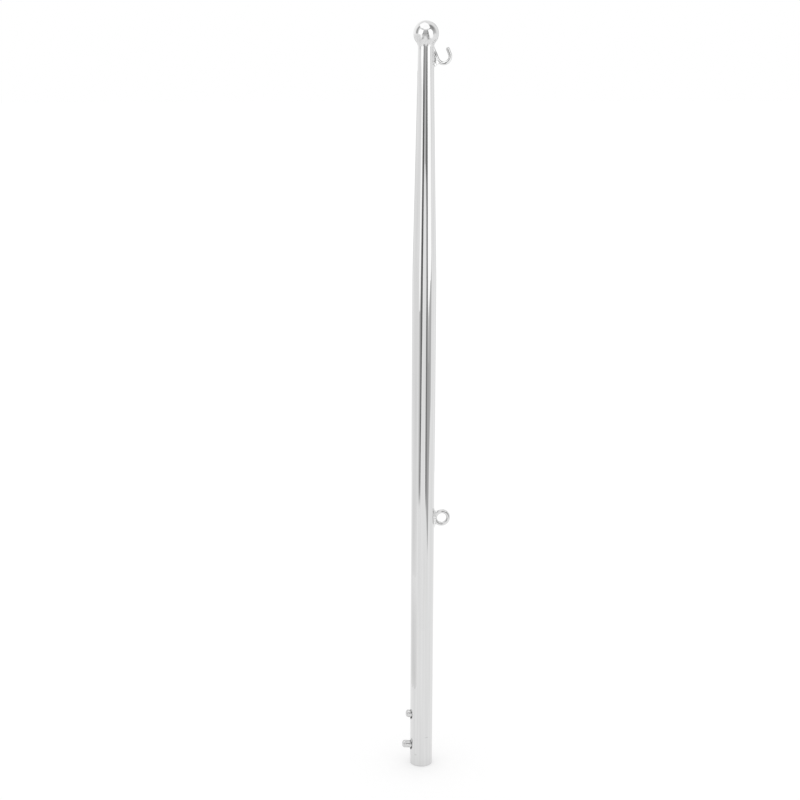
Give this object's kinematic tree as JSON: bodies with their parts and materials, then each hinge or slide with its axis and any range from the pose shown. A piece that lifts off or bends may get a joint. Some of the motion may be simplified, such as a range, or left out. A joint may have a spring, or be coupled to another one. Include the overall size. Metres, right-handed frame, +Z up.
{
  "type": "plug-in boat flagpole",
  "caption": "Tapered polished stainless flagpole for a boat: ball top, open flag hook near the top, closed halyard eye lower down and spring buttons at the plug-in end",
  "frame": {"origin": "centre of the open lower end of the tube", "axes": "+Z up the pole, +X towards the flag hook and the halyard eye, -X towards the spring buttons"},
  "size_m": [0.0522, 0.026, 0.8182],
  "materials": {
    "polished_steel": "mirror polished",
    "weld_metal": "buffed weld",
    "spring_steel": "cold-rolled satin"
  },
  "bodies": {
    "pole": {"pole_tube": "polished_steel", "ball_finial": "polished_steel", "finial_weld": "weld_metal", "hook": "polished_steel", "hook_weld": "weld_metal", "halyard_eye": "polished_steel", "eye_weld": "weld_metal", "spring_fixed_leg": "spring_steel"},
    "button_latch": {"spring_moving_leg": "spring_steel", "upper_button": "polished_steel", "lower_button": "polished_steel"}
  },
  "joints": [
    {"name": "button_press", "type": "hinge", "parent": "pole", "child": "button_latch", "pos_m": [0.0032, 0, 0.111], "axis": [0, -1, 0], "range_deg": [0, 6.4], "stiffness_Nm_per_rad": 3, "springref_deg": -6.88}
  ]
}
